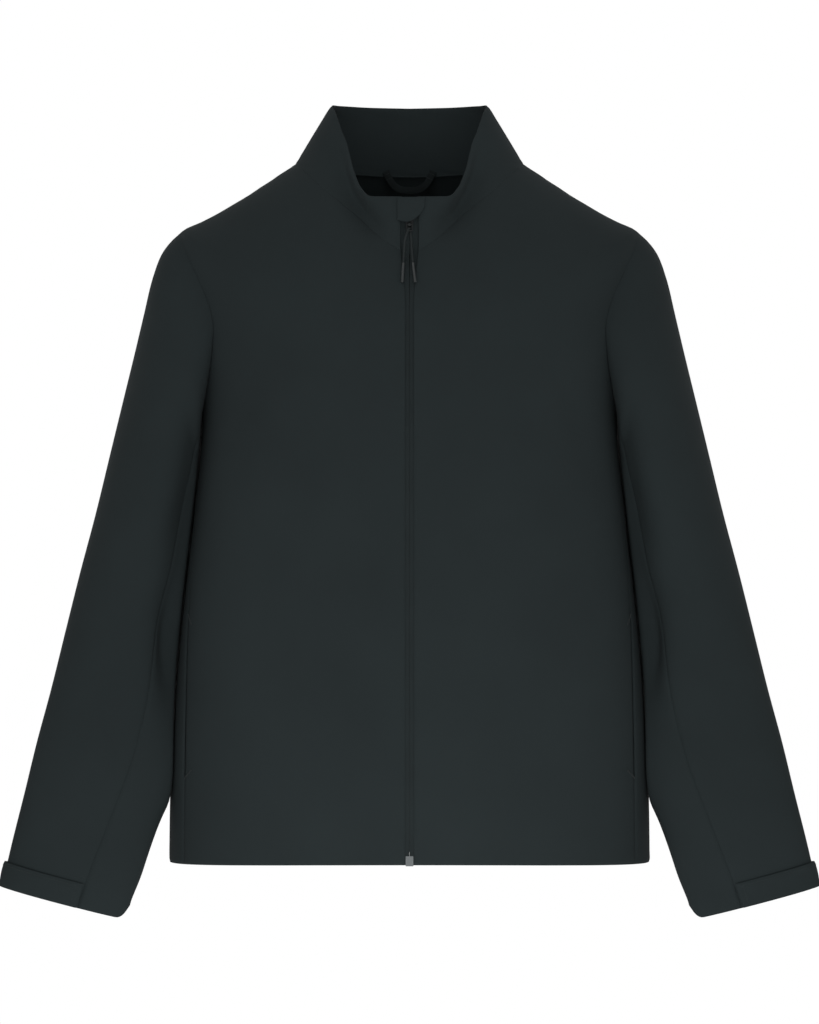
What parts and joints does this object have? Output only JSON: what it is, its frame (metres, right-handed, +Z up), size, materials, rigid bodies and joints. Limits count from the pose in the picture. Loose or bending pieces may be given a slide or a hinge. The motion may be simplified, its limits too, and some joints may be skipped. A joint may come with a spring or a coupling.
{
  "type": "softshell jacket",
  "caption": "Plain dark softshell jacket, zipped up and filled out as worn, with stand collar, two-piece sleeves, cuff tabs, side-seam pockets and a corded zip pull",
  "frame": {"origin": "on the middle line of the body, at the height of the high point of the shoulders and at mid depth", "axes": "+Z up, front toward -Y, the wearer's left toward +X"},
  "size_m": [0.813, 0.2272, 0.8096],
  "materials": {
    "cloth": "matte bonded softshell cloth, very dark green-black",
    "zip_tape": "flat woven zip tape, dark",
    "loop_strap": "narrow woven strap, dark",
    "zip_box": "moulded, dark grey",
    "slider": "black painted, half gloss",
    "cord": "thin braided cord, dark",
    "cord_tip": "moulded tip, dark"
  },
  "bodies": {
    "jacket": {"front_left": "cloth", "front_right": "cloth", "back": "cloth", "sleeve_upper_left": "cloth", "sleeve_upper_right": "cloth", "sleeve_under_left": "cloth", "sleeve_under_right": "cloth", "cuff_tab_left": "cloth", "cuff_tab_right": "cloth", "pocket_facing_left": "cloth", "pocket_facing_right": "cloth", "collar": "cloth", "zip_tape_left": "zip_tape", "zip_tape_right": "zip_tape", "zip_garage": "cloth", "hanger_loop": "loop_strap", "zip_box": "zip_box", "zip_slider": "slider"},
    "zip_pull": {"pull_ring": "slider", "pull_cord": "cord", "pull_tip_left": "cord_tip", "pull_tip_right": "cord_tip"}
  },
  "joints": [
    {"name": "pull_hinge", "type": "hinge", "parent": "jacket", "child": "zip_pull", "pos_m": [0, -0.09101, -0.0662], "axis": [-1, 0, 0], "range_deg": [0, 150]}
  ]
}
